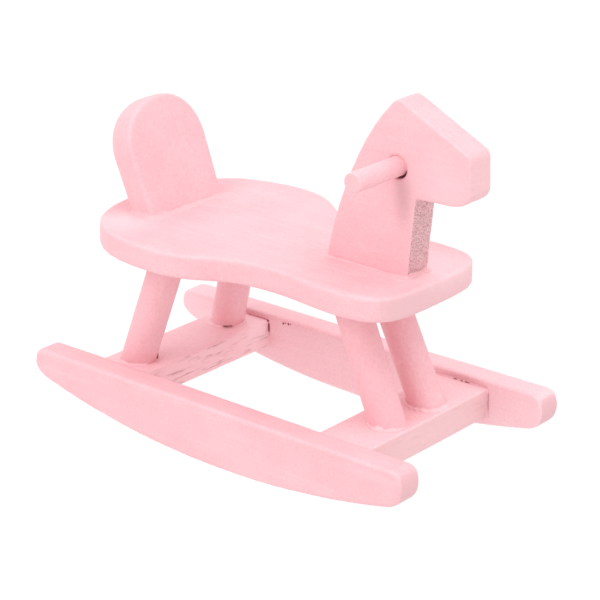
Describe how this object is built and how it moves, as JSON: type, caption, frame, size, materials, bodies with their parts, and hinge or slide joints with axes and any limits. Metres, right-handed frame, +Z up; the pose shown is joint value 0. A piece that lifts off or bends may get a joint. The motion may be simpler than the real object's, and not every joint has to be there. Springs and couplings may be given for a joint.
{
  "type": "miniature rocking horse",
  "caption": "Painted wooden rocking horse miniature: shaped seat, round-topped backrest, flat board head with dowel handle, round legs on two curved rockers.",
  "frame": {"origin": "on the ground, under the middle of the rockers' length and width", "axes": "+X towards the head, +Y to the horse's left, +Z up"},
  "size_m": [0.0884, 0.0456, 0.0679],
  "materials": {
    "painted_wood": "satin pink paint over wood",
    "bare_wood": "unfinished dowel"
  },
  "bodies": {
    "root": {"seat": "painted_wood", "head": "painted_wood", "backrest": "painted_wood", "handle": "painted_wood", "rocker_left": "painted_wood", "rocker_right": "painted_wood", "cross_board_front": "painted_wood", "cross_board_rear": "painted_wood", "leg_front_left": "painted_wood", "leg_front_right": "painted_wood", "leg_rear_left": "painted_wood", "leg_rear_right": "painted_wood", "head_pin_rear": "bare_wood", "head_pin_front": "bare_wood", "backrest_pin_left": "bare_wood", "backrest_pin_right": "bare_wood"}
  },
  "joints": []
}
